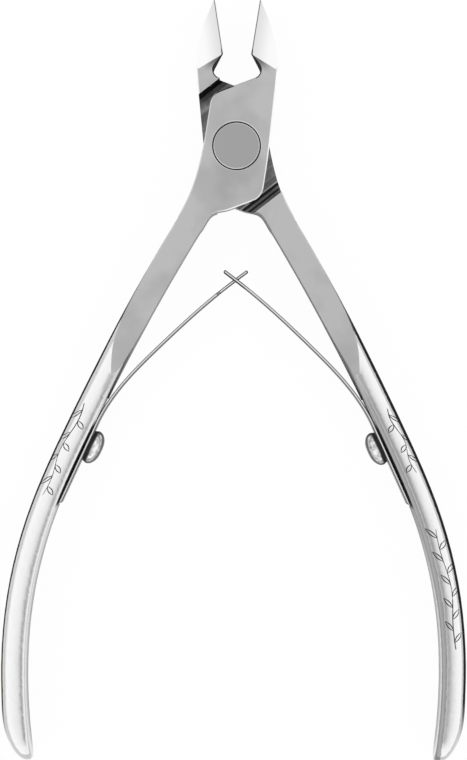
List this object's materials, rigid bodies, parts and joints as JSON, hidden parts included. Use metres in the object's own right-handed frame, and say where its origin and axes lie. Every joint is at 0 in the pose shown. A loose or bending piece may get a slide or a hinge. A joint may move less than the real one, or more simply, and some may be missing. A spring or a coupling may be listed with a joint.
{
  "type": "cuticle nipper",
  "caption": "Open lap-joint cuticle nipper: two crossed steel levers on a pivot, with pointed cutting jaws and interlocking leaf springs screwed inside the handles.",
  "frame": {"origin": "on the pivot axis, in the back face of the joint that the nipper rests on", "axes": "+Y from the handles to the blade tips, +Z out of the front face, +X to the right seen from the front"},
  "size_m": [0.066, 0.1081, 0.007],
  "materials": {
    "lever_steel": "polished handles, satin ground flats",
    "pivot_steel": "satin",
    "spring_steel": "smooth rolled",
    "screw_steel": "turned and polished"
  },
  "bodies": {
    "front_half": {"front_lever": "lever_steel", "pivot_barrel": "pivot_steel", "pivot_screw": "pivot_steel", "left_spring_screw": "screw_steel"},
    "rear_half": {"rear_lever": "lever_steel", "right_spring_screw": "screw_steel"},
    "left_leaf": {"left_leaf_spring": "spring_steel"},
    "right_leaf": {"right_leaf_spring": "spring_steel"}
  },
  "joints": [
    {"name": "jaw_pivot", "type": "hinge", "parent": "front_half", "child": "rear_half", "pos_m": [0, 0, 0.0035], "axis": [0, 0, -1], "range_deg": [0, 17.4], "stiffness_Nm_per_rad": 1, "deforming": ["left_leaf_spring", "right_leaf_spring"]},
    {"name": "left_leaf_flex", "type": "hinge", "parent": "front_half", "child": "left_leaf", "pos_m": [-0.01423, -0.03177, 0.0035], "axis": [0, 0, 1], "range_deg": [0, 7.7], "deforming": ["left_leaf_spring", "right_leaf_spring"]},
    {"name": "right_leaf_flex", "type": "hinge", "parent": "rear_half", "child": "right_leaf", "pos_m": [0.01423, -0.03177, 0.0035], "axis": [0, 0, -1], "range_deg": [0, 7.7], "deforming": ["left_leaf_spring", "right_leaf_spring"]}
  ],
  "couplings": [
    {"joint": "left_leaf_flex", "follows": "jaw_pivot", "ratio": 0.44},
    {"joint": "right_leaf_flex", "follows": "jaw_pivot", "ratio": 0.44}
  ]
}
